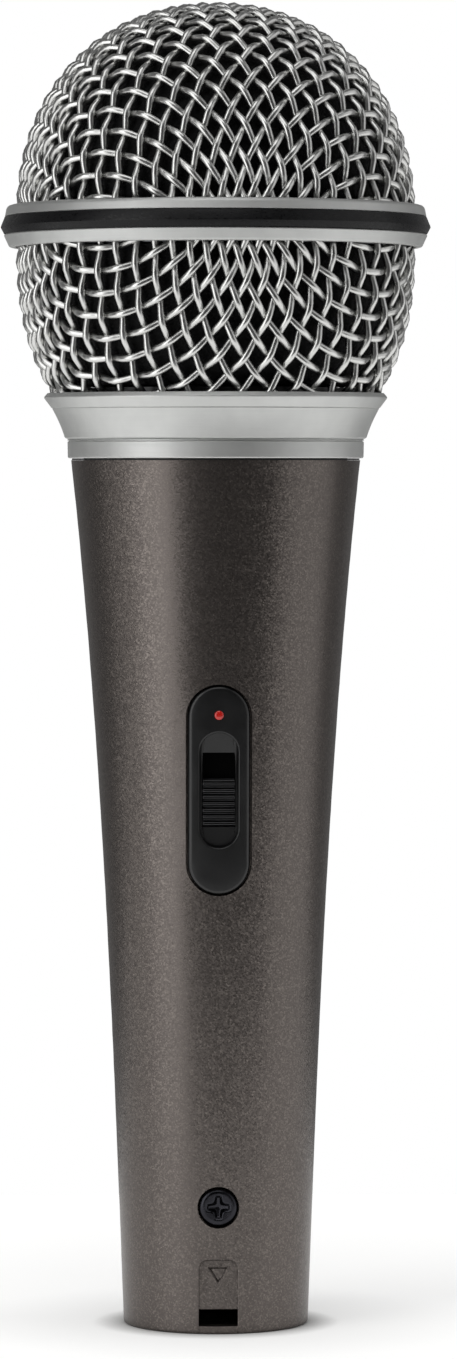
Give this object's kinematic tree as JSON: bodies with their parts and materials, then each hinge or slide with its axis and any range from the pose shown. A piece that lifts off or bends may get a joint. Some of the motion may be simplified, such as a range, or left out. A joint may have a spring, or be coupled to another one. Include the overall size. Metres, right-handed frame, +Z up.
{
  "type": "dynamic microphone",
  "caption": "Handheld dynamic vocal microphone: woven wire head with a ridged belt, tapered metal handle, slide switch and three-contact locking socket.",
  "frame": {"origin": "centre of the connector end face, on the surface that the microphone stands on", "axes": "+Z up the microphone's axis to the top of the wire head, -Y out of the face with the slide switch, +X to the right of a person who looks at the switch"},
  "size_m": [0.0536, 0.0536, 0.165],
  "materials": {
    "gunmetal_paint": "fine metallic satin",
    "satin_nickel": "satin nickel plate",
    "wire": "nickel-plated woven wire",
    "plated_steel": "zinc plated",
    "silver_plate": "silver plated",
    "magnet_nickel": "nickel plated",
    "black_screw": "black oxide",
    "bronze": "spring bronze",
    "brass": "turned",
    "copper": "enamelled copper",
    "black_plastic": "satin black",
    "white_plastic": "natural",
    "phenolic": "laminate",
    "red_dot": "red",
    "red_lead": "insulation",
    "white_lead": "insulation",
    "black_lead": "insulation",
    "black_rubber": "satin",
    "soft_rubber": "matt",
    "foam": "open-cell foam",
    "cloth": "acoustic cloth",
    "clear_film": "thin film"
  },
  "bodies": {
    "handle": {"handle_shell": "gunmetal_paint", "xlr_insert": "black_plastic", "xlr_pins": "silver_plate", "xlr_screw": "black_screw", "ground_contact": "bronze", "switch_plate": "black_plastic", "on_dot": "red_dot", "switch_frame": "plated_steel", "switch_base": "phenolic", "switch_terminals": "silver_plate", "switch_screws": "plated_steel", "shock_carrier": "black_plastic", "shock_mount": "soft_rubber", "lead_hot_lower": "red_lead", "lead_cold_lower": "white_lead", "lead_hot_upper": "red_lead", "lead_cold_upper": "white_lead", "lead_ground": "black_lead"},
    "slider": {"switch_knob": "black_plastic", "switch_slider": "white_plastic", "switch_wipers": "bronze"},
    "washer": {"head_washer": "soft_rubber"},
    "head": {"collar": "satin_nickel", "grille_retainer": "black_plastic", "lower_grille": "wire", "upper_grille": "wire", "belt_hoop": "plated_steel", "belt_lower_ring": "satin_nickel", "belt_upper_ring": "satin_nickel", "belt_band": "black_rubber", "foam_dome": "foam", "foam_sleeve": "foam"},
    "capsule": {"capsule_body": "black_plastic", "capsule_cap": "plated_steel", "capsule_screen": "cloth", "port_cloth": "cloth", "diaphragm_ring": "brass", "yoke": "plated_steel", "magnet": "magnet_nickel", "pole_piece": "plated_steel", "rear_chamber": "black_plastic", "terminal_board": "phenolic", "capsule_terminals": "silver_plate"},
    "moving_coil": {"diaphragm": "clear_film", "voice_coil": "copper"}
  },
  "joints": [
    {"name": "switch_slide", "type": "slide", "parent": "handle", "child": "slider", "axis": [0, -0.0642, 0.9979], "range_m": [0, 0.0033]},
    {"name": "head_rise", "type": "slide", "parent": "handle", "child": "washer", "axis": [0, 0, 1], "range_m": [0, 0.0063]},
    {"name": "head_turn", "type": "hinge", "parent": "washer", "child": "head", "pos_m": [0, 0, 0.11], "axis": [0, 0, 1], "range_deg": [0, 1800]},
    {"name": "capsule_float", "type": "slide", "parent": "handle", "child": "capsule", "axis": [0, 0, 1], "range_m": [-0.0006, 0.0006], "stiffness_N_per_m": 3000, "deforming": ["shock_mount", "lead_hot_upper", "lead_cold_upper"]},
    {"name": "coil_travel", "type": "slide", "parent": "capsule", "child": "moving_coil", "axis": [0, 0, 1], "range_m": [-0.00025, 0.00025], "stiffness_N_per_m": 1000}
  ],
  "couplings": [
    {"joint": "head_rise", "follows": "head_turn", "m_per_rad": 0.00019894}
  ]
}
